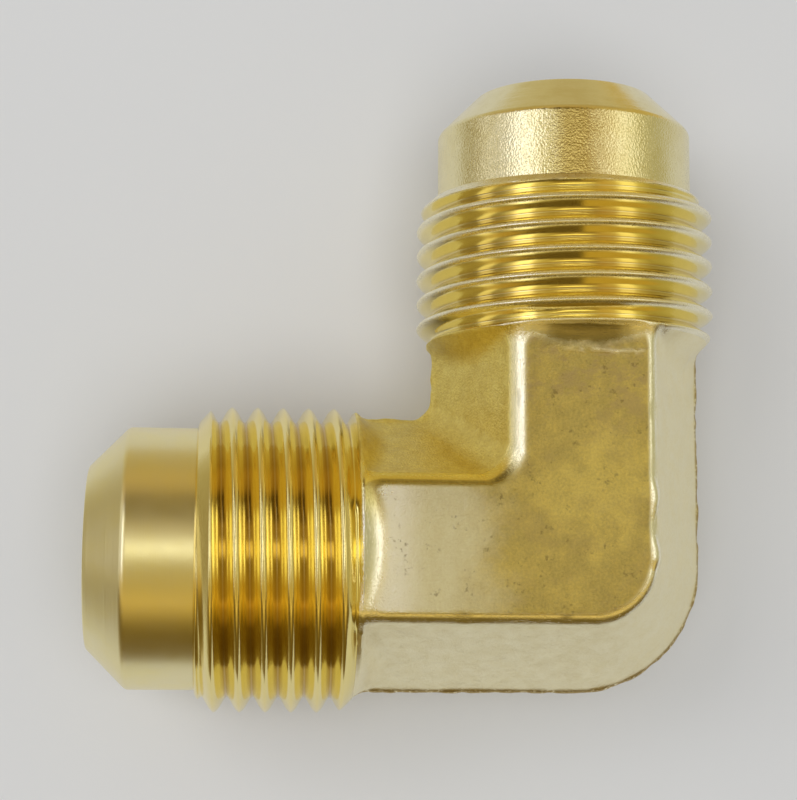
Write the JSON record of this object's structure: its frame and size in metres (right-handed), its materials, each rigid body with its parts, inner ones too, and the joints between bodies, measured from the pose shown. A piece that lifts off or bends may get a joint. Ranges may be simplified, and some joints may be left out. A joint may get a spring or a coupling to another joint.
{
  "type": "flare fitting",
  "caption": "Forged brass 90 degree union elbow for flared copper tube, with a 45 degree flare nose and an external thread on each leg.",
  "frame": {"origin": "on the lower wrench flat, straight below the crossing of the two bore axes, which lie 8 mm above it", "axes": "+Z out of the upper wrench flat, square to both bores; the left leg points along -X and the top leg along +Y"},
  "size_m": [0.0394, 0.0394, 0.019],
  "materials": {
    "forged_brass": "satin, as forged, with a mottled patina on the wrench flats",
    "threaded_brass": "bright, thread cut on a lathe",
    "turned_brass": "bright and smooth, turned",
    "grained_brass": "turned, with a fine grain"
  },
  "bodies": {
    "root": {"forged_elbow": "forged_brass", "left_thread": "threaded_brass", "left_flare_nose": "turned_brass", "top_thread": "threaded_brass", "top_flare_nose": "grained_brass"}
  },
  "joints": []
}
